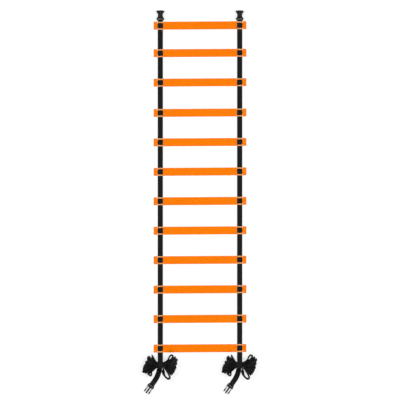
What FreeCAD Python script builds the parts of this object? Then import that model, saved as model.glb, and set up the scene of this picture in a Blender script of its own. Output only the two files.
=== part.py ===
import FreeCAD, Part
import math
import os

import Sketcher

# Agility ladder, lying flat: twelve plastic rungs slide on two webbing straps. Each strap has a sewn loop
# with the socket half of a side-release buckle at its upper end. Its spare length is folded into a tied
# hank at the lower end, and a short tail leaves the hank for the plug half of the buckle.
#
# Frame: millimetres, floor at z = 0, +Z up, +Y along the ladder towards the sockets, +X across it. The
# origin is under the middle of the ladder's bounding box. "left" is the -X side.

RUNG_COUNT = 12
SIDES = {"left": -1, "right": 1}
# The rungs nearest the sockets have slipped a little from their even pitch.
RUNG_SLIPS = {1: "rung_slip_first", 2: "rung_slip_second", 3: "rung_slip_second"}

DIMENSIONS = {
    # Rungs
    "rung_length": 445,
    "rung_width": 38,
    "rung_thickness": 2,
    "rung_corner": 1.5,
    "rung_pitch": 141.36,
    "rung_first": 855.1,
    "rung_slip_first": -5.3,
    "rung_slip_second": 4,
    "rung_skew": 0.34,
    "window_inner": 12.9,
    "window_outer": 14.6,
    "strip_width": 6,
    "bridge_width": 19,
    "arch_underside": 4.75,
    "arch_thickness": 1.4,
    "arch_shoulder": 1,
    "arch_foot": 4,
    # Straps
    "strap_spacing": 381,
    "strap_width": 25,
    "strap_thickness": 1.2,
    "loop_play": 0.2,
    "loop_throat": 0.4,
    "loop_sewn": 60,
    "loop_single": 5,
    "tail_sewn": 22,
    # Both halves of a buckle
    "slot_width": 26.4,
    "bar_half_length": 14.5,
    "heel_half_width": 14,
    "cut_margin": 30,
    # Socket half of the buckle
    "socket_line": 876.5,
    "socket_bar_height": 6,
    "socket_bar_radius": 2.5,
    "socket_cheek": 1.7,
    "socket_slot_front": 4.7,
    "socket_heel": 4.5,
    "socket_base_side": 5,
    "socket_base_end": 7.5,
    "socket_thickens": 6,
    "socket_thick": 14,
    "socket_mouth": 38,
    "socket_lip": 8,
    "socket_lip_corner": 1.5,
    "socket_waist": 23,
    "socket_waist_line": 22,
    "socket_reach": 45,
    "socket_dome": 1.1,
    "socket_half_height": 6,
    "socket_hollow_width": 32,
    "socket_hollow_height": 6.4,
    "socket_hollow_floor": 12.5,
    # Plug half of the buckle
    "plug_bar_height": 3.55,
    "plug_bar_radius": 2,
    "plug_cheek": 1.35,
    "plug_slot_front": 4,
    "plug_angle": 35,
    "plug_width": 34,
    "plug_shoulder": 5,
    "plug_corner": 2,
    "plug_thickens": 3,
    "plug_thick": 6,
    "plug_body_end": 14,
    "prong_root": 13,
    "prong_end": 47,
    "prong_taper": 5,
    "prong_chamfer": 1.5,
    "prong_width": 7.5,
    "prong_height": 4.4,
    "arm_pivot_across": 12,
    "arm_pivot_along": 12.5,
    "arm_root_radius": 2.1,
    "arm_play": 0.2,
    "arm_width": 3.8,
    "arm_end": 45,
    "arm_head": 14,
    "arm_nose": 4,
    "arm_lip": 1,
    "arm_spread": 30,
    "arm_height": 5,
    # Hank of spare strap
    "hank_line": -780,
    "hank_height": 26.4,
    "waist_depth": 32,
    "wrap_thickness": 1.4,
    "ramp_length": 32,
    "tail_across": -42,
    "tail_along": -97,
    "tail_straight": 28,
    "tail_bend": 126.4,
}

# Outer shape of the folded hank, as corners in millimetres from the middle of its tie.
OUTER_LOBE = [(-12.5, 16), (-21, 16), (-38, 47), (-61, 46), (-75, 14), (-82, -10), (-88, -32),
              (-70, -42), (-50, -55), (-39, -44), (-21, -16), (-12.5, -16)]
INNER_LOBE = [(12.5, 16), (36, 18), (43, 27), (54, 50), (61, 51), (73, 39), (81, 26), (76, -6),
              (65, -34), (49, -60), (39, -70), (31, -68), (14, -44), (12.5, -16)]

doc = FreeCAD.newDocument("agility_ladder")
dims = doc.addObject("Spreadsheet::Sheet", "dims")
for row, (alias, value) in enumerate(DIMENSIONS.items(), start=1):
    dims.set(f"A{row}", alias)
    dims.set(f"B{row}", str(value))
    dims.setAlias(f"B{row}", alias)
doc.recompute()
nodes = []


def size(expression):
    """The number that an expression of the sheet's cells has now."""
    return float(dims.evalExpression(expression))


def bind(thing, **expressions):
    """Tie properties to the sheet. Double underscores in a name stand for dots."""
    for name, expression in expressions.items():
        thing.setExpression(name.replace("__", "."), expression)


def new_body(label):
    body = doc.addObject("PartDesign::Body", label)
    body.Label = label
    nodes.append(body)
    return body


def new_sketch(body, name, role):
    """A sketch on the body's own origin plane that has this role."""
    plane = next(o for o in body.Origin.OriginFeatures if o.Role == role)
    sketch = body.newObject("Sketcher::SketchObject", name)
    sketch.AttachmentSupport = (plane, [""])
    sketch.MapMode = "FlatFace"
    return sketch


def close_outline(sketch, first, count):
    """Join the last count curves, each at the end that it shares with the next, into a closed outline."""
    for i in range(count):
        here, after = first + i, first + (i + 1) % count
        ends = min(
            ((1, 1), (1, 2), (2, 1), (2, 2)),
            key=lambda pair: sketch.getPoint(here, pair[0]).distanceToPoint(sketch.getPoint(after, pair[1])),
        )
        sketch.addConstraint(Sketcher.Constraint("Coincident", here, ends[0], after, ends[1]))


def polygon(sketch, corners):
    """A closed outline of straight edges whose corners, pairs of expressions, are tied to the sheet."""
    first = sketch.GeometryCount
    points = [FreeCAD.Vector(size(across), size(along), 0) for across, along in corners]
    for i, point in enumerate(points):
        edge = Part.LineSegment(point, points[(i + 1) % len(points)])
        sketch.addGeometry(edge, False)
    close_outline(sketch, first, len(points))
    for i, (across, along) in enumerate(corners):
        for kind, expression in (("DistanceX", across), ("DistanceY", along)):
            distance = Sketcher.Constraint(kind, -1, 1, first + i, 1, size(expression))
            index = sketch.addConstraint(distance)
            sketch.setExpression(f"Constraints[{index}]", expression)


def rectangle(sketch, left, right, low, high):
    polygon(sketch, [(left, low), (right, low), (right, high), (left, high)])


def outline(sketch, steps):
    """A closed outline. A step of one point ends a straight edge, one of two is an arc's middle and end."""
    first = sketch.GeometryCount
    here = FreeCAD.Vector(*steps[-1][-1], 0)
    for step in steps:
        points = [FreeCAD.Vector(*point, 0) for point in step]
        if len(points) == 1:
            sketch.addGeometry(Part.LineSegment(here, points[0]), False)
        else:
            sketch.addGeometry(Part.Arc(here, *points), False)
        here = points[-1]
    close_outline(sketch, first, len(steps))


def pad(body, sketch, length, symmetric=False):
    feature = body.newObject("PartDesign::Pad", sketch.Name + "_pad")
    feature.Profile = sketch
    feature.SideType = "Symmetric" if symmetric else "One side"
    bind(feature, Length=length)
    sketch.Visibility = False
    return feature


def pocket(body, sketch, length, symmetric=False, upward=False):
    """A pocket, and a check that it did remove material."""
    doc.recompute()
    before = body.Shape.Volume
    feature = body.newObject("PartDesign::Pocket", sketch.Name + "_pocket")
    feature.Profile = sketch
    feature.SideType = "Symmetric" if symmetric else "One side"
    feature.Reversed = upward
    bind(feature, Length=length)
    doc.recompute()
    if body.Shape.Volume >= before:
        raise RuntimeError(f"{feature.Label} removed nothing")
    return feature


def place(body, across, along, up, turn="0"):
    """Put a body in the ladder's frame, turned about +Z first."""
    body.Placement = FreeCAD.Placement(FreeCAD.Vector(), FreeCAD.Rotation(FreeCAD.Vector(0, 0, 1), 1))
    bind(body, Placement__Base__x=across, Placement__Base__y=along, Placement__Base__z=up)
    bind(body, Placement__Rotation__Angle=turn)


def strap_line(side):
    """Where the middle of this side's strap is, across the ladder."""
    return f"{SIDES[side]} * dims.strap_spacing / 2"


# Rungs ----------------------------------------------------------------------------------------------


def rung_section(sketch):
    """The rung seen from its edge: a flat plate that arches over both straps."""
    middle = "dims.strap_spacing / 2"
    inner = f"({middle} - dims.window_inner)"
    outer = f"({middle} + dims.window_outer)"
    under = "dims.arch_underside"
    crown = "dims.arch_underside + dims.arch_thickness"
    plate = "dims.rung_thickness"
    end = "dims.rung_length / 2"
    right = [
        (inner, "0"), (inner, under), (outer, under), (outer, "0"), (end, "0"), (end, plate),
        (f"{outer} + dims.arch_foot", plate), (f"{outer} + dims.arch_shoulder", crown),
        (f"{inner} - dims.arch_shoulder", crown), (f"{inner} - dims.arch_foot", plate),
    ]
    left = [(f"-({across})", up) for across, up in reversed(right)]
    polygon(sketch, right + left)


def make_rung(number):
    body = new_body(f"rung_{number:02d}")
    section = new_sketch(body, body.Name + "_section", "XZ_Plane")
    rung_section(section)
    pad(body, section, "dims.rung_width", symmetric=True)

    # The arches are only strips along both edges: between them the strap shows.
    crowns = new_sketch(body, body.Name + "_crowns", "XY_Plane")
    bind(crowns, AttachmentOffset__Base__z="dims.rung_thickness")
    bridges = new_sketch(body, body.Name + "_bridges", "XY_Plane")
    reach = "(dims.rung_width / 2 - dims.strip_width)"
    for sign in ("-1", "1"):
        near = f"{sign} * (dims.strap_spacing / 2 - dims.window_inner"
        far = f"{sign} * (dims.strap_spacing / 2 + dims.window_outer"
        rectangle(crowns, f"{near} - dims.arch_foot)", f"{far} + dims.arch_foot)", f"-{reach}", reach)
        rectangle(bridges, f"{near})", f"{far})", "-dims.bridge_width / 2", "dims.bridge_width / 2")
    pocket(body, crowns, "2 * dims.arch_underside", upward=True)
    pad(body, bridges, "dims.rung_thickness")
    round_rung_corners(body)

    slip = f" + dims.{RUNG_SLIPS[number]}" if number in RUNG_SLIPS else ""
    along = f"dims.rung_first - {number - 1} * dims.rung_pitch{slip}"
    place(body, "0", along, "0", "dims.rung_skew")


def round_rung_corners(body):
    """Round the four upright corners at the rung's ends."""
    doc.recompute()
    square = body.Tip
    end = size("dims.rung_length / 2")
    upright = [
        f"Edge{i}"
        for i, edge in enumerate(square.Shape.Edges, start=1)
        if all(abs(abs(v.X) - end) < 0.01 for v in edge.Vertexes)
        and abs(edge.BoundBox.ZLength - size("dims.rung_thickness")) < 0.01
    ]
    fillet = body.newObject("PartDesign::Fillet", body.Name + "_corners")
    fillet.Base = (square, upright)
    bind(fillet, Radius="dims.rung_corner")


# Straps ---------------------------------------------------------------------------------------------


def loop_outlines(bar_radius, sewn, far_end):
    """The side view of a strap that runs in from -y under a bar, goes round it and is sewn back on itself.

    The bar's axis is at the origin. The strap is double up to -sewn and single from there to -far_end.
    """
    thickness = size("dims.strap_thickness")
    throat = size("dims.loop_throat")
    inside = bar_radius + size("dims.loop_play")
    outside = inside + thickness
    # The upper strap leaves the bar and bends level again round a centre beside it.
    bend_up = thickness - inside + throat
    bend_along = -math.sqrt((outside + throat) ** 2 - bend_up**2)
    lean = math.atan2(bend_up, bend_along) % (2 * math.pi)
    level = -math.pi / 2
    halfway = (lean - math.pi + level) / 2

    def at(centre, radius, angle):
        return (centre[0] + radius * math.cos(angle), centre[1] + radius * math.sin(angle))

    bend = (bend_along, bend_up)
    outer = [
        [(0, -outside)],
        [at((0, 0), outside, 0), at((0, 0), outside, lean)],
        [at(bend, throat, halfway), at(bend, throat, level)],
        [(-sewn, thickness - inside)],
        [(-sewn, -inside)],
        [(-far_end, -inside)],
        [(-far_end, -outside)],
    ]
    eye = [
        [at((0, 0), inside, 0), at((0, 0), inside, lean)],
        [at(bend, throat + thickness, halfway), at(bend, throat + thickness, level)],
        [(0, -inside)],
    ]
    return outer, eye


def make_strap_loop(side):
    """The strap's upper end, doubled round the socket half's bar and sewn."""
    body = new_body(f"strap_loop_{side}")
    single = size("dims.loop_sewn + dims.loop_single")
    outer, eye = loop_outlines(size("dims.socket_bar_radius"), size("dims.loop_sewn"), single)
    profile = new_sketch(body, body.Name + "_side", "YZ_Plane")
    outline(profile, outer)
    outline(profile, eye)
    pad(body, profile, "dims.strap_width", symmetric=True)
    place(body, strap_line(side), "dims.socket_line", "dims.socket_bar_height")


def make_strap_rail(side):
    """The straight strap that the rungs slide on, from the sewn loop to the foot of the ramp."""
    body = new_body(f"strap_rail_{side}")
    flat = new_sketch(body, body.Name + "_flat", "XY_Plane")
    half = "dims.strap_width / 2"
    foot = "dims.hank_line + dims.waist_depth / 2 + dims.wrap_thickness + dims.ramp_length"
    rectangle(flat, f"-{half}", half, foot, "dims.socket_line - dims.loop_sewn - dims.loop_single")
    pad(body, flat, "dims.strap_thickness")
    under = "dims.socket_bar_height - dims.socket_bar_radius - dims.loop_play - dims.strap_thickness"
    place(body, strap_line(side), "0", under)


def make_strap_tail(side):
    """The free end: a flat strap that leaves the tie, bends and is sewn round the plug half's bar."""
    body = new_body(f"strap_tail_{side}")
    bar_radius = size("dims.plug_bar_radius")
    thickness = size("dims.strap_thickness")
    straight = size("dims.tail_straight")
    outer, eye = loop_outlines(bar_radius, size("dims.tail_sewn"), straight)
    profile = new_sketch(body, body.Name + "_side", "YZ_Plane")
    outline(profile, outer)
    outline(profile, eye)
    pad(body, profile, "dims.strap_width", symmetric=True)

    # The bend lies flat, round a centre beside the strap, and stops square against the tie.
    bend = size("dims.tail_bend")
    half = size("dims.strap_width / 2")
    turn = math.radians(180 - size("dims.plug_angle"))
    tie_face = -size("dims.waist_depth / 2 + dims.wrap_thickness")
    centre_along = size("dims.tail_along") + bend * math.sin(turn) - straight * math.cos(turn)

    def arc_to_tie(radius):
        """The middle and the end of the bend's edge at this radius."""
        stop = math.pi - turn - math.asin((centre_along - tie_face) / radius) + math.pi
        return [
            (bend + radius * math.cos(angle), -straight + radius * math.sin(angle))
            for angle in ((math.pi + stop) / 2, stop)
        ]

    near_middle, near_end = arc_to_tie(bend - half)
    far_middle, far_end = arc_to_tie(bend + half)
    flat = new_sketch(body, body.Name + "_flat", "XY_Plane")
    bind(flat, AttachmentOffset__Base__z="-dims.plug_bar_radius - dims.loop_play - dims.strap_thickness")
    outline(flat, [[near_middle, near_end], [far_end], [far_middle, (-half, -straight)], [(half, -straight)]])
    pad(body, flat, "dims.strap_thickness")
    place(body, f"{strap_line(side)} + dims.tail_across", "dims.hank_line + dims.tail_along",
          "dims.plug_bar_height", "180 - dims.plug_angle")


def make_hank(side):
    """The folded spare strap, standing on its edge: two fans of loops and the waist that the tie holds."""
    body = new_body(f"hank_{side}")
    lobes = new_sketch(body, body.Name + "_lobes", "XY_Plane")
    outline(lobes, [[corner] for corner in OUTER_LOBE])
    outline(lobes, [[corner] for corner in INNER_LOBE])
    waist = new_sketch(body, body.Name + "_waist", "XY_Plane")
    bind(waist, AttachmentOffset__Base__z="dims.wrap_thickness")
    half = "dims.strap_width / 2"
    rectangle(waist, f"-{half}", half, "-dims.waist_depth / 2", "dims.waist_depth / 2")
    pad(body, waist, "dims.hank_height - dims.wrap_thickness")
    pad(body, lobes, "dims.hank_height")
    place(body, strap_line(side), "dims.hank_line", "0")


def make_hank_wrap(side):
    """The tie: the strap climbs a ramp from the rail and goes once round the waist of the hank."""
    body = new_body(f"hank_wrap_{side}")
    turn = new_sketch(body, body.Name + "_turn", "YZ_Plane")
    depth = "dims.waist_depth / 2"
    rectangle(turn, f"-{depth} - dims.wrap_thickness", f"{depth} + dims.wrap_thickness",
              "0", "dims.hank_height + dims.wrap_thickness")
    rectangle(turn, f"-{depth}", depth, "dims.wrap_thickness", "dims.hank_height")
    pad(body, turn, "dims.strap_width", symmetric=True)

    thickness = size("dims.strap_thickness")
    rail_top = size("dims.socket_bar_height - dims.socket_bar_radius - dims.loop_play")
    face = size("dims.waist_depth / 2 + dims.wrap_thickness")
    foot = face + size("dims.ramp_length")
    crest = size("dims.hank_height + dims.wrap_thickness")
    climb = math.atan2(crest - rail_top, foot - face)
    ramp = new_sketch(body, body.Name + "_ramp", "YZ_Plane")
    outline(ramp, [
        [(foot, rail_top)],
        [(face, crest)],
        [(face, crest - thickness / math.cos(climb))],
        [(foot - thickness * math.tan(climb / 2), rail_top - thickness)],
        [(foot, rail_top - thickness)],
    ])
    pad(body, ramp, "dims.strap_width", symmetric=True)
    place(body, strap_line(side), "dims.hank_line", "0")


# Buckles --------------------------------------------------------------------------------------------


def trim_to_side_view(body, kind, half):
    """Cut a buckle half to its side view: round at the bar, then thicker up to half its height."""
    nose = size(f"dims.{kind}_bar_radius + dims.{kind}_cheek")
    start = size(f"dims.{kind}_thickens")
    full = size(f"dims.{kind}_thick")
    beyond = size("2 * dims.socket_reach")
    around = new_sketch(body, body.Name + "_around", "YZ_Plane")
    rectangle(around, "-dims.cut_margin", "3 * dims.socket_reach", "-dims.cut_margin", "dims.cut_margin")
    outline(around, [
        [(start, nose)],
        [(full, half)],
        [(beyond, half)],
        [(beyond, -half)],
        [(full, -half)],
        [(start, -nose)],
        [(0, -nose)],
        [(-nose, 0), (0, nose)],
    ])
    pocket(body, around, "2 * dims.socket_mouth", symmetric=True)


def webbing_slot(body, kind):
    """Open the slot behind a buckle and put its round bar across it."""
    slot = new_sketch(body, body.Name + "_slot", "XY_Plane")
    half = "dims.slot_width / 2"
    rectangle(slot, f"-{half}", half, "-dims.cut_margin", f"dims.{kind}_slot_front")
    pocket(body, slot, "dims.cut_margin", symmetric=True)
    bar = new_sketch(body, body.Name + "_bar", "YZ_Plane")
    radius = f"dims.{kind}_bar_radius"
    bar.addGeometry(Part.Circle(FreeCAD.Vector(), FreeCAD.Vector(0, 0, 1), size(radius)), False)
    bar.addConstraint(Sketcher.Constraint("Coincident", 0, 3, -1, 1))
    index = bar.addConstraint(Sketcher.Constraint("Radius", 0, size(radius)))
    bar.setExpression(f"Constraints[{index}]", radius)
    pad(body, bar, "2 * dims.bar_half_length", symmetric=True)


def make_socket(side):
    """The socket half: a flattened tube, open at the mouth and at both sides, with a bar for the strap."""
    body = new_body(f"buckle_socket_{side}")
    mouth = size("dims.socket_mouth / 2")
    waist = size("dims.socket_waist / 2")
    waist_line = size("dims.socket_waist_line")
    lip = size("dims.socket_reach - dims.socket_lip")
    corner = size("dims.socket_reach - dims.socket_lip_corner")
    base_side = size("dims.socket_base_side")
    base_end = size("dims.socket_base_end")
    heel = size("dims.heel_half_width")
    heel_end = -size("dims.socket_heel")
    plan = new_sketch(body, body.Name + "_plan", "XY_Plane")
    outline(plan, [
        [(mouth, corner)],
        [(0, size("dims.socket_reach + dims.socket_dome")), (-mouth, corner)],
        [(-mouth, lip)],
        [(-waist, waist_line), (-mouth, base_end)],
        [(-mouth, base_side)],
        [(-heel, heel_end)],
        [(heel, heel_end)],
        [(mouth, base_side)],
        [(mouth, base_end)],
        [(waist, waist_line), (mouth, lip)],
    ])
    pad(body, plan, "4 * dims.socket_half_height", symmetric=True)
    trim_to_side_view(body, "socket", size("dims.socket_half_height"))

    hollow = new_sketch(body, body.Name + "_hollow", "XY_Plane")
    across = "dims.socket_hollow_width / 2"
    rectangle(hollow, f"-{across}", across, "dims.socket_hollow_floor", "2 * dims.socket_reach")
    pocket(body, hollow, "dims.socket_hollow_height", symmetric=True)
    webbing_slot(body, "socket")
    place(body, strap_line(side), "dims.socket_line", "dims.socket_bar_height")


def make_plug(side):
    """The plug half: a bar for the strap, a body and the centre prong. Its arms are separate."""
    body = new_body(f"buckle_plug_{side}")
    half = size("dims.plug_width / 2")
    shoulder = size("dims.plug_shoulder")
    corner = size("dims.plug_corner")
    end = size("dims.plug_body_end")
    heel = size("dims.heel_half_width")
    thick = size("dims.plug_bar_height")
    plan = new_sketch(body, body.Name + "_plan", "XY_Plane")
    outline(plan, [
        [(heel, -thick)],
        [(half, shoulder)],
        [(half, end - corner)],
        [(half - corner, end)],
        [(corner - half, end)],
        [(-half, end - corner)],
        [(-half, shoulder)],
        [(-heel, -thick)],
    ])
    pad(body, plan, "2 * dims.plug_bar_height", symmetric=True)
    trim_to_side_view(body, "plug", thick)
    prong = new_sketch(body, body.Name + "_prong", "XY_Plane")
    across = "dims.prong_width / 2"
    straight = "dims.prong_end - dims.prong_taper"
    polygon(prong, [
        (f"-{across}", "dims.prong_root"), (across, "dims.prong_root"), (across, straight),
        (f"{across} - dims.prong_chamfer", "dims.prong_end"),
        (f"dims.prong_chamfer - {across}", "dims.prong_end"), (f"-{across}", straight),
    ])
    pad(body, prong, "dims.prong_height", symmetric=True)

    seats = new_sketch(body, body.Name + "_seats", "XY_Plane")
    seat = size("dims.arm_root_radius + dims.arm_play")
    along = size("dims.arm_pivot_along")
    open_end = size("dims.plug_body_end + dims.arm_head")
    for sign in (-1, 1):
        across = sign * size("dims.arm_pivot_across")
        outline(seats, [
            [(across, along - seat), (across + seat, along)],
            [(across + seat, open_end)],
            [(across - seat, open_end)],
            [(across - seat, along)],
        ])
    pocket(body, seats, "4 * dims.plug_bar_height", symmetric=True)
    webbing_slot(body, "plug")
    place(body, f"{strap_line(side)} + dims.tail_across", "dims.hank_line + dims.tail_along",
          "dims.plug_bar_height", "180 - dims.plug_angle")


def make_plug_arm(side, name, sign):
    """One sprung arm: a round root in the plug's seat, a slim arm and a thick barbed head."""
    body = new_body(f"plug_arm_{side}_{name}")
    root = size("dims.arm_root_radius")
    half = size("dims.arm_width / 2")
    end = size("dims.arm_end - dims.arm_pivot_along")
    neck = end - size("dims.arm_head")
    head = size("dims.arm_spread / 2 - dims.arm_pivot_across")
    nose = size("dims.arm_nose")
    lip = size("dims.arm_lip")
    foot = math.sqrt(root**2 - half**2)
    plan = new_sketch(body, body.Name + "_plan", "XY_Plane")
    outline(plan, [
        [(sign * half, neck - lip)],
        [(sign * head, neck)],
        [(sign * (head - 0.2 * nose), end - nose), (sign * (head - 0.65 * nose), end)],
        [(-sign * (half - 0.2 * nose), end)],
        [(-sign * (half + lip), end - 1.5 * nose)],
        [(-sign * (half + lip), neck + lip)],
        [(-sign * half, neck - nose)],
        [(-sign * half, foot)],
        [(0, -root), (sign * half, foot)],
    ])
    pad(body, plan, "dims.arm_height", symmetric=True)
    turn = "(180 - dims.plug_angle)"
    across, along = f"{sign} * dims.arm_pivot_across", "dims.arm_pivot_along"
    aside = f"({across} * cos({turn} * 1 deg) - {along} * sin({turn} * 1 deg))"
    ahead = f"({across} * sin({turn} * 1 deg) + {along} * cos({turn} * 1 deg))"
    place(body, f"{strap_line(side)} + dims.tail_across + {aside}",
          f"dims.hank_line + dims.tail_along + {ahead}", "dims.plug_bar_height", turn)


for rung_number in range(1, RUNG_COUNT + 1):
    make_rung(rung_number)
for strap_side in SIDES:
    make_strap_loop(strap_side)
    make_strap_rail(strap_side)
    make_hank(strap_side)
    make_hank_wrap(strap_side)
    make_strap_tail(strap_side)
    make_socket(strap_side)
    make_plug(strap_side)
    # The plug lies turned round, so its own -x side is the ladder's +x side.
    make_plug_arm(strap_side, "a", 1)
    make_plug_arm(strap_side, "b", -1)
doc.recompute()

for thing in doc.Objects:
    if {"Invalid", "Error"} & set(thing.State):
        raise RuntimeError(f"{thing.Label} failed: {thing.State}")
for body in nodes:
    if body.Shape.isNull() or not body.Shape.isValid() or len(body.Shape.Solids) != 1:
        raise RuntimeError(f"{body.Label} is not one valid solid")

os.makedirs("parts", exist_ok=True)
for body in nodes:
    body.Shape.exportStep(f"parts/{body.Label}.step")
    box = body.Shape.BoundBox
    print(f"{body.Label}: {box.XLength:.1f} x {box.YLength:.1f} x {box.ZLength:.1f} mm, "
          f"{body.Shape.Volume / 1000:.2f} cm3")
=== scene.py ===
import math
import random
from collections import namedtuple

import bmesh
import bpy
from mathutils import Matrix, Vector


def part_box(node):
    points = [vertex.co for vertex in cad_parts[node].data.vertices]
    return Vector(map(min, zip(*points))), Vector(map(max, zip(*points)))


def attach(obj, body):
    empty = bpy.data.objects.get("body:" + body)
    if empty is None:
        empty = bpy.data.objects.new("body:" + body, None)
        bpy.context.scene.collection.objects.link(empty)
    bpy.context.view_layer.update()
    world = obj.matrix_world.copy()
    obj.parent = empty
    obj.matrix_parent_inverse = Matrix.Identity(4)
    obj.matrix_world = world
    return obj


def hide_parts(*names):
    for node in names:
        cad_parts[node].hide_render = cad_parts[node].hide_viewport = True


# Agility ladder lying flat, seen straight from above. Metres, +Z up, +Y along the ladder to the sockets,
# +X across it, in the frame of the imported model. Each strap is one length: a sewn loop round the socket's
# bar, a run under the rungs, a tie round its spare length in folds, and a free end sewn round the plug's bar.

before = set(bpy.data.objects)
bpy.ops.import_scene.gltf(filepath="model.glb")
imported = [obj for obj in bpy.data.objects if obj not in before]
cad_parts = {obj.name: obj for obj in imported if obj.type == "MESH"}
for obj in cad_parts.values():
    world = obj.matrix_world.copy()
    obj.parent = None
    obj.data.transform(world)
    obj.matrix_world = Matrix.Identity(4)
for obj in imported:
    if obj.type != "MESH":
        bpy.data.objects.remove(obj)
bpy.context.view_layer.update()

MM = 0.001
UP = Vector((0, 0, 1))
ALONG = Vector((0, 1, 0))
SIDES = ("left", "right")
RUNGS = [f"rung_{number:02d}" for number in range(1, 13)]

# A short piece of strap: the middle of its section, the way its width runs, and the way its face looks.
Station = namedtuple("Station", "point across face")

# Camera ----------------------------------------------------------------------------------------------

VIEW_WIDTH = 1.92
VIEW_CENTRE = Vector((0, 0.012, 3))

camera = bpy.data.objects.new("camera", bpy.data.cameras.new("camera"))
camera.data.type = "ORTHO"
camera.data.ortho_scale = VIEW_WIDTH
camera.location = VIEW_CENTRE
bpy.context.scene.collection.objects.link(camera)
bpy.context.scene.camera = camera

# Materials -------------------------------------------------------------------------------------------

# The sockets of a Mix node that blends colours.
MIX_AMOUNT, MIX_FIRST, MIX_SECOND, MIX_RESULT = 0, 6, 7, 2

HERRINGBONE_WIDTH = 3.1 * MM
TWILL_PITCH = 1.5 * MM


def feed(tree, target, inputs):
    """Set a node's inputs, each to a value or to the output that feeds it."""
    for key, value in inputs.items():
        if isinstance(value, bpy.types.NodeSocket):
            tree.links.new(value, target.inputs[key])
        else:
            target.inputs[key].default_value = value


def node(tree, kind, inputs, **settings):
    """Add a shader node and return its outputs."""
    made = tree.nodes.new("ShaderNode" + kind)
    for name, value in settings.items():
        setattr(made, name, value)
    feed(tree, made, inputs)
    return made.outputs


def compute(tree, operation, a, b=0.0, c=0.0):
    return node(tree, "Math", {0: a, 1: b, 2: c}, operation=operation)[0]


def scaled(tree, value, factor, offset=0.0):
    return compute(tree, "MULTIPLY_ADD", value, factor, offset)


def ramp(tree, value, start, stop, top=1.0):
    """0 up to start, rising evenly to top at stop."""
    inputs = {"Value": value, "From Min": start, "From Max": stop, "To Max": top}
    return node(tree, "MapRange", inputs)["Result"]


def noise(tree, place, scale, detail, distortion=0.0):
    inputs = {"Vector": place, "Scale": scale, "Detail": detail, "Distortion": distortion}
    return node(tree, "TexNoise", inputs)["Fac"]


def bump(tree, height, strength, depth):
    return node(tree, "Bump", {"Height": height, "Strength": strength, "Distance": depth})["Normal"]


def blend_colours(tree, amount, first, second):
    inputs = {MIX_AMOUNT: amount, MIX_FIRST: first, MIX_SECOND: second}
    return node(tree, "Mix", inputs, data_type="RGBA")[MIX_RESULT]


def principled(name):
    """A new material, its node tree and its shader."""
    material = bpy.data.materials.new(name)
    material.use_nodes = True
    tree = material.node_tree
    return material, tree, tree.nodes["Principled BSDF"]


def webbing(dark, light):
    """Polypropylene webbing: a herringbone weave that follows the strap's own length."""
    material, tree, shader = principled("webbing")
    place = node(tree, "TexCoord", {})
    across, along, _ = node(tree, "SeparateXYZ", {0: place["UV"]})
    chevron = compute(tree, "PINGPONG", across, HERRINGBONE_WIDTH)
    twill = scaled(tree, compute(tree, "ADD", along, chevron), 2 * math.pi / TWILL_PITCH)
    yarn = scaled(tree, compute(tree, "SINE", twill), 0.5, 0.5)
    fuzz = noise(tree, place["Object"], scale=900, detail=3)
    patches = noise(tree, place["Object"], scale=35, detail=2)
    shade = scaled(tree, yarn, 0.55, scaled(tree, fuzz, 0.45))
    shade = compute(tree, "MULTIPLY", shade, scaled(tree, patches, 0.8, 0.6))
    feed(tree, shader, {
        "Base Color": blend_colours(tree, shade, dark, light),
        "Roughness": scaled(tree, fuzz, 0.25, 0.5),
        "Specular IOR Level": 0.13,
        "Sheen Weight": 0.02,
        "Sheen Roughness": 0.4,
        "Normal": bump(tree, scaled(tree, fuzz, 0.5, yarn), strength=0.8, depth=0.12 * MM),
    })
    return material


def moulded_plastic(name, dark, light, worn_and_highlight, roughness, gloss, highlight_above=1.0):
    """Injection-moulded plastic: a fine spark-eroded texture, faint flow marks, paler worn edges, and a
    painted highlight on what stands high.

    What stands higher than the height given last, in metres, gets a painted highlight in the colour of the
    worn edges.
    """
    material, tree, shader = principled(name)
    place = node(tree, "TexCoord", {})["Object"]
    grain = noise(tree, place, scale=1400, detail=2)
    flow = noise(tree, place, scale=22, detail=4, distortion=1.5)
    edges = ramp(tree, node(tree, "NewGeometry", {})["Pointiness"], 0.52, 0.62)
    edges = compute(tree, "MULTIPLY", edges, scaled(tree, grain, 0.8, 0.1))
    height = node(tree, "SeparateXYZ", {0: place})["Z"]
    # Painted highlight: the tops of raised parts, such as a rung's strips over the straps, blend part way to
    # the pale colour of the worn edges.
    crown_highlight = ramp(tree, height, highlight_above - 3 * MM, highlight_above, top=0.6)
    # The worn edges together with the painted highlight on raised tops.
    wear_and_highlight = compute(tree, "MAXIMUM", edges, crown_highlight)
    feed(tree, shader, {
        "Base Color": blend_colours(tree, wear_and_highlight, blend_colours(tree, flow, dark, light), worn_and_highlight),
        "Roughness": scaled(tree, flow, 0.2, roughness - 0.1),
        "Specular IOR Level": gloss,
        "Normal": bump(tree, scaled(tree, flow, 0.6, grain), strength=0.35, depth=0.06 * MM),
    })
    return material


def thread(dark, light):
    """Waxed sewing thread with its strands."""
    material, tree, shader = principled("thread")
    place = node(tree, "TexCoord", {})["Object"]
    strands = node(tree, "TexWave", {"Vector": place, "Scale": 900, "Distortion": 2})["Fac"]
    feed(tree, shader, {
        "Base Color": blend_colours(tree, strands, dark, light),
        "Roughness": 0.5,
        "Normal": bump(tree, strands, strength=0.5, depth=0.05 * MM),
    })
    return material


WEBBING = webbing(dark=(0.0015, 0.0015, 0.0017, 1), light=(0.011, 0.011, 0.012, 1))
THREAD = thread(dark=(0.03, 0.03, 0.032, 1), light=(0.075, 0.075, 0.078, 1))
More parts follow.
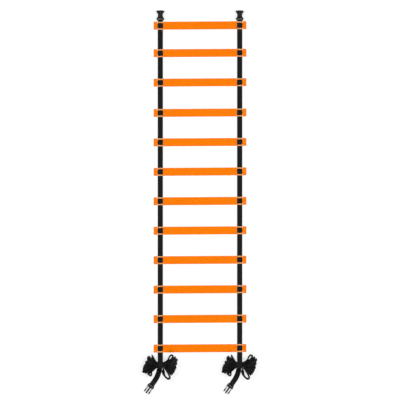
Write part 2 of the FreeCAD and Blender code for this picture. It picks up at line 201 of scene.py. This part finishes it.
# The rungs' strips that arch over the straps get a painted highlight in the pale worn colour, from 3 mm up to
# 6 mm high; their edges are worn pale as well.
RUNG_PLASTIC = moulded_plastic(
    "rung_plastic", dark=(0.93, 0.19, 0, 1), light=(1, 0.21, 0, 1), worn_and_highlight=(0.74, 0.44, 0.18, 1),
    roughness=0.45, gloss=0.08, highlight_above=6 * MM,
)
BUCKLE_PLASTIC = moulded_plastic(
    "buckle_plastic", dark=(0.003, 0.003, 0.0033, 1), light=(0.008, 0.008, 0.0085, 1),
    worn_and_highlight=(0.06, 0.06, 0.06, 1), roughness=0.36, gloss=0.35,
)

# Webbing ---------------------------------------------------------------------------------------------

STRAP_WIDTH = 25 * MM
STRAP_THICKNESS = 1.2 * MM
WARP_RIBS = 9
WARP_RIB_DEPTH = 0.09 * MM

# The most that a traced strap runs, and turns in degrees, from one station to the next.
STATION_GAP = 4 * MM
STATION_TURN = 9


def add_piece(name, mesh, material, body):
    """Make a visible piece from a mesh, on a body."""
    mesh.materials.clear()
    mesh.materials.append(material)
    piece = bpy.data.objects.new(name, mesh)
    bpy.context.scene.collection.objects.link(piece)
    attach(piece, body)
    return piece


def strap_section():
    """Points round the strap's section, as (across, off the face): shallow ribs and rounded selvedges."""
    half = STRAP_WIDTH / 2
    crest = STRAP_THICKNESS / 2
    shoulder = half - crest * 0.7
    count = 2 * WARP_RIBS
    top = [
        (-shoulder + 2 * shoulder * i / count, crest - (WARP_RIB_DEPTH if i % 2 else 0))
        for i in range(count + 1)
    ]
    bottom = [(-across, -off) for across, off in top]
    return [*top, (half, 0), *bottom, (-half, 0)]


def strap(name, stations):
    """A ribbon of webbing along the stations, and its length.

    Its UVs are metres across and along the strap, shifted by its width so that none is negative.
    """
    section = strap_section()
    work = bmesh.new()
    uv = work.loops.layers.uv.new("strap")
    rings = [
        [work.verts.new(s.point + s.across * across + s.face * off) for across, off in section]
        for s in stations
    ]
    reach = [0.0]
    for here, after in zip(stations, stations[1:]):
        reach.append(reach[-1] + (after.point - here.point).length)
    for i, (ring, after) in enumerate(zip(rings, rings[1:])):
        for j in range(len(section)):
            k = (j + 1) % len(section)
            side = work.faces.new((ring[j], ring[k], after[k], after[j]))
            side.smooth = True
            corners = ((j, i), (k, i), (k, i + 1), (j, i + 1))
            for loop, (place, station) in zip(side.loops, corners):
                loop[uv].uv = (section[place][0] + STRAP_WIDTH, reach[station])
    work.faces.new(rings[0][::-1])
    work.faces.new(rings[-1])
    bmesh.ops.recalc_face_normals(work, faces=work.faces)
    mesh = bpy.data.meshes.new(name)
    work.to_mesh(mesh)
    work.free()
    return mesh, reach[-1]


def trace(point, forward, face, steps):
    """The stations of a strap that is walked from a point.

    Each step is (length, yaw, pitch) in degrees: yaw bends the strap in its own plane, to the left, and
    pitch bends it over its face.
    """
    point, forward, face = Vector(point), Vector(forward), Vector(face)
    stations = [Station(point.copy(), forward.cross(face), face.copy())]
    for length, yaw, pitch in steps:
        turn = abs(yaw) + abs(pitch)
        count = max(1, math.ceil(length / STATION_GAP), math.ceil(turn / STATION_TURN))
        half = math.radians(turn) / count / 2
        chord = length / count * (math.sin(half) / half if half else 1)
        for _ in range(count):
            for walked in (chord, 0):
                across = forward.cross(face)
                bend = Matrix.Rotation(math.radians(yaw) / count / 2, 3, face)
                bend = Matrix.Rotation(math.radians(pitch) / count / 2, 3, across) @ bend
                forward, face = bend @ forward, bend @ face
                point = point + forward * walked
            stations.append(Station(point.copy(), forward.cross(face), face.copy()))
    return stations


def arc(radius, yaw=0, pitch=0):
    """A step that bends by this much at this radius."""
    return (radius * math.radians(abs(yaw) + abs(pitch)), yaw, pitch)


# Sewn loops round the buckles' bars ------------------------------------------------------------------

# SEWN is how far before the bar the strap's cut end lies, and SEAM is where the stitching ends, from there.
LOOP_PLAY = 0.2 * MM
SEAM_RADIUS = 1.0 * MM
SOCKET_BAR_RADIUS = 2.5 * MM
SOCKET_BAR = Vector((0, 876.5, 6)) * MM
SOCKET_SEWN = 60 * MM
SOCKET_SEAM = 44 * MM
PLUG_BAR_RADIUS = 2 * MM
PLUG_BAR = Vector((-42, -97, 3.55)) * MM
PLUG_HEADING = math.radians(215)
PLUG_SEWN = 22 * MM
PLUG_SEAM = 16 * MM

STITCH_SIZE = Vector((3.0, 0.7, 0.5)) * MM
STITCH_PITCH = 3.6 * MM
STITCH_SUNK = 0.12 * MM
SEAM_INSET = 3.5 * MM


def bar_loop(bar_radius, sewn):
    """Steps from the sewn-down end of a strap, along the strap under it, over the bar and back below it."""
    round_bar = bar_radius + LOOP_PLAY + STRAP_THICKNESS / 2
    rise = round_bar - STRAP_THICKNESS - SEAM_RADIUS
    lean = math.asin(rise / (round_bar + SEAM_RADIUS))
    throat = (round_bar + SEAM_RADIUS) * math.cos(lean)
    up = 90 + math.degrees(lean)
    return [(sewn - throat, 0, 0), arc(SEAM_RADIUS, pitch=up), arc(round_bar, pitch=-180 - up)]


def sewn_end(bar, bar_radius, forward, sewn):
    """The middle of the cut end that is sewn down, this far before the bar."""
    round_bar = bar_radius + LOOP_PLAY + STRAP_THICKNESS / 2
    return bar - forward * sewn - UP * (round_bar - STRAP_THICKNESS)


def stitching(name, end, forward, length):
    """A box of stitches with a cross in it, through both layers of a doubled strap, from its cut end.

    Each stitch is a flattened bead, partly sunk in the webbing.
    """
    across = forward.cross(UP)
    half = STRAP_WIDTH / 2 - SEAM_INSET
    corners = [
        end + across * x + forward * y
        for x, y in ((-half, SEAM_INSET), (half, SEAM_INSET), (half, length), (-half, length))
    ]
    seams = [(corners[i], corners[(i + 1) % 4]) for i in range(4)]
    seams += [(corners[0], corners[2]), (corners[1], corners[3])]
    top = STRAP_THICKNESS / 2 - STITCH_SUNK
    work = bmesh.new()
    for level in (top, -STRAP_THICKNESS - top):
        for start, stop in seams:
            count = round((stop - start).length / STITCH_PITCH)
            run = (stop - start).normalized()
            axes = Matrix((run, UP.cross(run), UP)).transposed().to_4x4()
            for i in range(count):
                place = Matrix.Translation(start.lerp(stop, (i + 0.5) / count) + UP * level)
                shape = place @ axes @ Matrix.Diagonal((*STITCH_SIZE, 1))
                bmesh.ops.create_uvsphere(work, u_segments=8, v_segments=6, radius=0.5, matrix=shape)
    for side in work.faces:
        side.smooth = True
    mesh = bpy.data.meshes.new(name)
    work.to_mesh(mesh)
    work.free()
    return add_piece(name, mesh, THREAD, "straps")


# Straps ----------------------------------------------------------------------------------------------

# The ramp is where the strap rises from the rungs to the top of the hank, and angles are in degrees.
RAMP_ANGLE = 40
RAMP_FOOT_RADIUS = 20 * MM
RAMP_CREST_RADIUS = 8 * MM
TIE_CREST = 14 * MM
TIE_CORNER = 1.6 * MM
TIE_DEPTH = 17.4 * MM
TAIL_STRAIGHT = 28 * MM
TAIL_BEND = 126.4 * MM
TAIL_TURN = 28.2


def tie_of(side):
    """The middle of the tie's lower face, which is the middle of the hank."""
    low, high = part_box(f"hank_wrap_{side}")
    return Vector(((low.x + high.x) / 2, low.y + TIE_DEPTH, low.z))


def make_running_strap(side):
    """The strap from its sewn loop along the ladder, up over the hank and once round its waist."""
    tie = tie_of(side)
    bar = SOCKET_BAR + Vector((tie.x, 0, 0))
    inset = STRAP_THICKNESS / 2
    rail = bar.z - SOCKET_BAR_RADIUS - LOOP_PLAY - inset
    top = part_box(f"hank_wrap_{side}")[1].z - inset
    height = top - tie.z - inset
    depth = TIE_DEPTH - inset
    climb = math.radians(RAMP_ANGLE)
    radii = RAMP_FOOT_RADIUS + RAMP_CREST_RADIUS
    slope = (top - rail - radii * (1 - math.cos(climb))) / math.sin(climb)
    run = radii * math.sin(climb) + slope * math.cos(climb)
    steps = bar_loop(SOCKET_BAR_RADIUS, SOCKET_SEWN) + [
        (bar.y - tie.y - TIE_CREST - run, 0, 0),
        arc(RAMP_FOOT_RADIUS, pitch=-RAMP_ANGLE),
        (slope, 0, 0),
        arc(RAMP_CREST_RADIUS, pitch=RAMP_ANGLE),
        (TIE_CREST + depth - TIE_CORNER, 0, 0),
        arc(TIE_CORNER, pitch=90),
        (height - 2 * TIE_CORNER, 0, 0),
        arc(TIE_CORNER, pitch=90),
        (2 * depth - 2 * TIE_CORNER, 0, 0),
        arc(TIE_CORNER, pitch=90),
        (height - 4 * TIE_CORNER, 0, 0),
    ]
    end = sewn_end(bar, SOCKET_BAR_RADIUS, ALONG, SOCKET_SEWN)
    mesh, length = strap(f"strap_{side}", trace(end, ALONG, UP, steps))
    piece = add_piece(f"strap_{side}", mesh, WEBBING, "straps")
    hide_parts(f"strap_loop_{side}", f"strap_rail_{side}", f"hank_wrap_{side}")
    seam = stitching(f"strap_stitching_{side}", end, ALONG, SOCKET_SEAM)


def make_tail(side):
    """The free end, from the sewn loop on the plug's bar back along the floor to the tie."""
    tie = tie_of(side)
    bar = PLUG_BAR + Vector((tie.x, tie.y, 0))
    forward = Vector((math.sin(PLUG_HEADING), math.cos(PLUG_HEADING), 0))
    steps = bar_loop(PLUG_BAR_RADIUS, PLUG_SEWN) + [(TAIL_STRAIGHT, 0, 0), arc(TAIL_BEND, yaw=-TAIL_TURN)]
    end = sewn_end(bar, PLUG_BAR_RADIUS, forward, PLUG_SEWN)
    stations = trace(end, forward, UP, steps)
    # The last section turns square to the tie that it comes out of.
    point, across, face = stations[-1]
    stations[-1] = Station(point, Vector((math.copysign(1, across.x), 0, 0)), face)
    mesh, length = strap(f"strap_end_{side}", stations)
    piece = add_piece(f"strap_end_{side}", mesh, WEBBING, "straps")
    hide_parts(f"strap_tail_{side}")
    seam = stitching(f"strap_end_stitching_{side}", end, forward, PLUG_SEAM)


# Hanks -----------------------------------------------------------------------------------------------

# A closed fold: its tip, half its width, how far the strap's upper edge leans towards -Y, and how far it
# flares out. All of this is in millimetres from the middle of the tie.
Fold = namedtuple("Fold", "x y half lean flare")

# Three folds hang open. These are the points that their strap runs through from the tie and back, and how
# far its upper edge flares out at each, in millimetres as well.
LAST_LEFT_LOOP = [
    (-26, -16.5, 2), (-38, -23, 3), (-48, -31.5, 5), (-53, -41, 6), (-52, -49, 7), (-46.5, -51.5, 7),
    (-42.5, -46, 7), (-42.5, -36, 7), (-39, -27, 5), (-27, -18.5, 3),
]
FIRST_RIGHT_LOOP = [
    (27, 16.5, 5), (37, 25.5, 6), (42, 35.5, 6), (48, 45, 7), (55.5, 47, 7.5), (60.5, 42.5, 7),
    (56, 33.5, 6), (46, 22.5, 5), (33, 14, 4),
]
LAST_RIGHT_LOOP = [
    (22, -20, 3), (32, -33, 6), (40, -45, 7), (45, -56, 8), (44, -64, 9), (37.5, -66.5, 9),
    (28, -60.5, 8), (20, -51, 9), (16, -41, 13), (14, -31, 15), (14.5, -21, 7),
]

# The folds of a hank from its top to its bottom.
LEFT_FOLDS = [
    Fold(-40.5, 44.5, 2.7, 9, 0), Fold(-58, 40, 3, 8, 0), Fold(-63, 35, 2.6, 7, 0),
    Fold(-63, 25, 3.4, 7, 0), Fold(-72, 14, 3.6, 7, 0), Fold(-73, 3, 3.4, 7, 0),
    Fold(-79, -4, 3.4, 7, 0), Fold(-82, -12.5, 3.4, 7, 0), Fold(-84, -20, 3.4, 8, 0),
    Fold(-84.5, -29, 4.5, 9, 4), Fold(-74, -36, 3.4, 8, 0), Fold(-61, -42, 3.2, 8, 1),
    LAST_LEFT_LOOP,
]
RIGHT_FOLDS = [
    FIRST_RIGHT_LOOP,
    Fold(74, 36, 3.2, 7, 0), Fold(83, 26, 3.4, 7, 0), Fold(80, 16, 3.4, 7, 0),
    Fold(80.5, 7, 3.4, 7, 0), Fold(75, -3, 3.2, 7, 0), Fold(77, -12, 3.2, 7, 0),
    Fold(72.5, -22, 3.2, 7, 0), Fold(68, -32, 3.2, 8, 0), Fold(61.5, -41, 3, 8, 0),
    Fold(54, -46, 2.8, 8, 0),
    LAST_RIGHT_LOOP,
]

# Across the ladder: where the strap starts in the tie, where its strands leave the tie, and where closed
# folds fan out.
WAIST_INSIDE = 11 * MM
WAIST_EDGE = 13 * MM
KNEE = 22 * MM

# The strands lie side by side in the tie, and lift is how high their lower edges are off the floor.
STRAND_TOP = 14.9 * MM
STRAND_PITCH = 1.19 * MM
STRAND_LIFT = 1.5 * MM
FOLD_LIFT = 0.35 * MM
LEAN_REACH = 20 * MM
FOLD_ARRIVES = 0.5

HANK_SEED = 7
LIFT_SPREAD = (0, 0.9 * MM)
HALF_SPREAD = (0.93, 1.07)
LEAN_SPREAD = (0.9, 1.1)

FOLD_SAMPLES = 18
TIP_SAMPLES = 12
LOOP_SAMPLES = 6


def neighbours(items):
    """Each item between the one before it and the one after it, or itself at either end."""
    return zip(items[:1] + items[:-1], items, items[1:] + items[-1:])


def bezier(start, leave, arrive, end, count):
    """Points along a cubic curve, with both its ends."""
    points = []
    for i in range(count + 1):
        t = i / count
        s = 1 - t
        points.append(start * s**3 + leave * 3 * s * s * t + arrive * 3 * s * t * t + end * t**3)
    return points


def closed_fold(direction, first, second, tip, half):
    """A closed fold's plan, as (point, way out of the fold): out along a strand, round the tip and back."""
    knee = Vector((direction * KNEE, (first + second) / 2))
    axis = (tip - knee).normalized()
    towards_first = Vector((axis.y, -axis.x)) * -direction
    middle = tip - axis * half
    leave = Vector((direction * (KNEE - WAIST_EDGE), 0))
    arrive = axis * (tip - knee).length * FOLD_ARRIVES

    def strand(level, out):
        start = Vector((direction * WAIST_EDGE, level))
        end = middle + out * half
        return [(point, out) for point in bezier(start, start + leave, end - arrive, end, FOLD_SAMPLES)]

    rounded = []
    for i in range(1, TIP_SAMPLES):
        angle = math.pi * i / TIP_SAMPLES
        out = towards_first * math.cos(angle) + axis * math.sin(angle)
        rounded.append((middle + out * half, out))
    return [*strand(first, towards_first), *rounded, *reversed(strand(second, -towards_first))]


def open_loop(direction, first, second, corners):
    """An open fold's plan, as (point, slant outwards): a smooth curve through these corners."""
    start, end = (Vector((direction * WAIST_EDGE, level, 0)) for level in (first, second))
    knots = [start, start, *(Vector(corner) * MM for corner in corners), end, end]
    points = []
    for before, here, there, after in zip(knots, knots[1:], knots[2:], knots[3:]):
        leave = here + (there - before) / 6
        arrive = there - (after - here) / 6
        points += bezier(here, leave, arrive, there, LOOP_SAMPLES)[:-1]
    points.append(end)
    plan = []
    for before, point, after in neighbours(points):
        ahead = (after - before).xy.normalized()
        outwards = Vector((-ahead.y, ahead.x)) * direction
        plan.append((point.xy, outwards * point.z))
    return plan


def freedom(point):
    """How far a strand has opened out here: 0 in the tie, 1 from LEAN_REACH beyond it."""
    beyond = Vector((max(0, abs(point.x) - WAIST_EDGE), max(0, abs(point.y) - STRAND_TOP)))
    t = min(1, beyond.length / LEAN_REACH)
    return t * t * (3 - 2 * t)


def hank_plan():
    """The spare strap folded to and fro through the tie, as (point, slant of its upper edge, lift)."""
    rng = random.Random(HANK_SEED)
    levels = [STRAND_TOP - STRAND_PITCH * i for i in range(2 * len(LEFT_FOLDS))]
    plan = [(Vector((WAIST_INSIDE, levels[0])), Vector((0, 0)), 0)]
    for i, (first, second) in enumerate(zip(levels, levels[1:])):
        direction, folds = ((-1, LEFT_FOLDS), (1, RIGHT_FOLDS))[i % 2]
        row = folds[i // 2]
        lift = rng.uniform(*LIFT_SPREAD)
        if isinstance(row, Fold):
            half = row.half * rng.uniform(*HALF_SPREAD)
            lean = row.lean * rng.uniform(*LEAN_SPREAD)
            tip = Vector((row.x, row.y)) * MM
            for point, out in closed_fold(direction, first, second, tip, half * MM):
                slant = (Vector((0, -lean)) + out * row.flare) * MM * freedom(point)
                plan.append((point, slant, lift))
        else:
            loop = open_loop(direction, first, second, row)
            plan += [(point, slant, lift) for point, slant in loop]
    plan.append((Vector((WAIST_INSIDE, levels[-1])), Vector((0, 0)), 0))
    return plan


def hank_stations(tie):
    """The stations of the spare strap, which stands on its edge along its plan."""
    centres, widths = [], []
    for point, slant, lift in hank_plan():
        height = math.sqrt(STRAP_WIDTH**2 - slant.length_squared)
        bottom = STRAND_LIFT + (FOLD_LIFT + lift - STRAND_LIFT) * freedom(point)
        centres.append(tie + Vector((*point, bottom + height / 2)))
        widths.append(Vector((*slant, height)).normalized())
    return [
        Station(centre, width, (after - before).cross(width).normalized())
        for (before, centre, after), width in zip(neighbours(centres), widths)
    ]


def make_hank(side):
    """The spare strap in its folds, one sheet for the whole hank."""
    mesh, length = strap(f"hank_folds_{side}", hank_stations(tie_of(side)))
    piece = add_piece(f"hank_folds_{side}", mesh, WEBBING, "straps")
    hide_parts(f"hank_{side}")


# Moulded pieces --------------------------------------------------------------------------------------

RUNG_EDGE = 0.4 * MM
SOCKET_EDGE = 0.5 * MM
PLUG_EDGE = 0.4 * MM
ARM_EDGE = 0.3 * MM
SHARP_EDGE = math.radians(30)
FLAT_WITHIN = math.radians(2)

# The three ribs on a socket, as their middle across and along it, length and turn in degrees. These sizes
# and those below are in millimetres from the middle of the bar.
SOCKET_RIBS = ((0, 30, 25, 0), (-8.5, 33, 19, 24), (8.5, 33, 19, -24))
SOCKET_RIB_WIDTH = 2.2
SOCKET_RIB_HEIGHT = 1.2
SOCKET_TOP = 6

# The grip ridges on the outside of an arm.
GRIPS = 4
FIRST_GRIP = Vector((15.05, 32.6, 0))
GRIP_STEP = Vector((-0.12, 1.9, 0))
GRIP_SIZE = (1.1, 0.9, 4)


def block(where, centre, size, turn=0):
    """The matrix that makes a unit cube a block of this size in millimetres, turned about +Z."""
    spot = Matrix.Translation(Vector(centre) * MM) @ Matrix.Rotation(math.radians(turn), 4, "Z")
    return where @ spot @ Matrix.Diagonal((*(Vector(size) * MM), 1))


def moulded(name, material, ridges=()):
    """A moulded piece in the shape of its CAD node, with blocks raised on it. Its edges are still sharp."""
    work = bmesh.new()
    work.from_mesh(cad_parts[name].data)
    bmesh.ops.remove_doubles(work, verts=work.verts, dist=0.001 * MM)
    for shape in ridges:
        bmesh.ops.create_cube(work, size=1, matrix=shape)
    for side in work.faces:
        side.smooth = True
    mesh = bpy.data.meshes.new(f"{name}_moulded")
    work.to_mesh(mesh)
    work.free()
    piece = add_piece(f"{name}_moulded", mesh, material, name)
    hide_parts(name)
    return piece


def bevel_edges(piece, width, clamped=True):
    """Round the sharp edges of a piece."""
    planar = piece.modifiers.new("planar", "DECIMATE")
    planar.decimate_type = "DISSOLVE"
    planar.angle_limit = FLAT_WITHIN
    soften = piece.modifiers.new("soften", "BEVEL")
    soften.width = width
    soften.segments = 3
    soften.limit_method = "ANGLE"
    soften.angle_limit = SHARP_EDGE
    soften.use_clamp_overlap = clamped
    soften.harden_normals = True


def make_socket(side):
    """A socket half with its ribs."""
    where = Matrix.Translation(SOCKET_BAR + Vector((tie_of(side).x, 0, 0)))
    ribs = [
        block(where, (across, along, SOCKET_TOP), (SOCKET_RIB_WIDTH, length, SOCKET_RIB_HEIGHT), turn)
        for across, along, length, turn in SOCKET_RIBS
    ]
    piece = moulded(f"buckle_socket_{side}", BUCKLE_PLASTIC, ribs)
    bevel_edges(piece, SOCKET_EDGE, clamped=False)


def make_plug(side):
    """A plug half and its two arms with their grips."""
    tie = tie_of(side)
    where = Matrix.Translation(PLUG_BAR + Vector((tie.x, tie.y, 0)))
    where = where @ Matrix.Rotation(-PLUG_HEADING, 4, "Z")
    bevel_edges(moulded(f"buckle_plug_{side}", BUCKLE_PLASTIC), PLUG_EDGE)
    for arm, mirror in (("a", Vector((1, 1, 1))), ("b", Vector((-1, 1, 1)))):
        grips = [block(where, (FIRST_GRIP + GRIP_STEP * i) * mirror, GRIP_SIZE) for i in range(GRIPS)]
        piece = moulded(f"plug_arm_{side}_{arm}", BUCKLE_PLASTIC, grips)
        bevel_edges(piece, ARM_EDGE)


# Studio ----------------------------------------------------------------------------------------------

SOFTBOXES = [
    ("softbox_left", (-2.4, 1.2, 2.4), (1.6, 2.6), 84),
    ("softbox_right", (2.4, 0.4, 2.2), (1.6, 2.6), 66),
    ("softbox_front", (0.3, -2.8, 1.8), (2.4, 1.2), 38),
]
SKY = 0.12


def add_ground(name, half, height, glow):
    """A square of pale matt paper, large enough to fill the view."""
    material, tree, shader = principled(name)
    paper = noise(tree, node(tree, "TexCoord", {})["Object"], scale=60, detail=4)
    feed(tree, shader, {
        "Base Color": blend_colours(tree, paper, (0.32, 0.32, 0.32, 1), (0.35, 0.35, 0.35, 1)),
        "Roughness": 0.9,
        "Specular IOR Level": 0.1,
        "Emission Color": (1, 1, 1, 1),
        "Emission Strength": glow,
    })
    corners = [(-half, -half, 0), (half, -half, 0), (half, half, 0), (-half, half, 0)]
    mesh = bpy.data.meshes.new(name)
    mesh.from_pydata(corners, [], [(0, 1, 2, 3)])
    mesh.materials.append(material)
    ground = bpy.data.objects.new(name, mesh)
    ground.location.z = height
    bpy.context.scene.collection.objects.link(ground)


def add_light(name, place, size, power):
    """A softbox that faces the middle of the ladder."""
    light = bpy.data.lights.new(name, "AREA")
    light.shape = "RECTANGLE"
    light.size, light.size_y = size
    light.energy = power
    lamp = bpy.data.objects.new(name, light)
    lamp.location = place
    lamp.rotation_mode = "QUATERNION"
    lamp.rotation_quaternion = (-Vector(place)).to_track_quat("-Z", "Y")
    bpy.context.scene.collection.objects.link(lamp)


def add_studio():
    """A white floor, three softboxes and a faint white sky."""
    add_ground("stage_floor", half=10, height=-0.2 * MM, glow=0.7)
    # Low views look past the floor's near edge, on to this ground beneath it.
    add_ground("stage_ground", half=60, height=-3, glow=1)
    for softbox in SOFTBOXES:
        add_light(*softbox)
    world = bpy.data.worlds.new("studio")
    world.use_nodes = True
    background = world.node_tree.nodes["Background"]
    background.inputs["Color"].default_value = (1, 1, 1, 1)
    background.inputs["Strength"].default_value = SKY
    bpy.context.scene.world = world
    bpy.context.scene.view_settings.view_transform = "Standard"


# Making ----------------------------------------------------------------------------------------------

add_studio()
for strap_side in SIDES:
    make_running_strap(strap_side)
    make_tail(strap_side)
    make_hank(strap_side)
    make_socket(strap_side)
    make_plug(strap_side)
for rung in RUNGS:
    bevel_edges(moulded(rung, RUNG_PLASTIC), RUNG_EDGE)
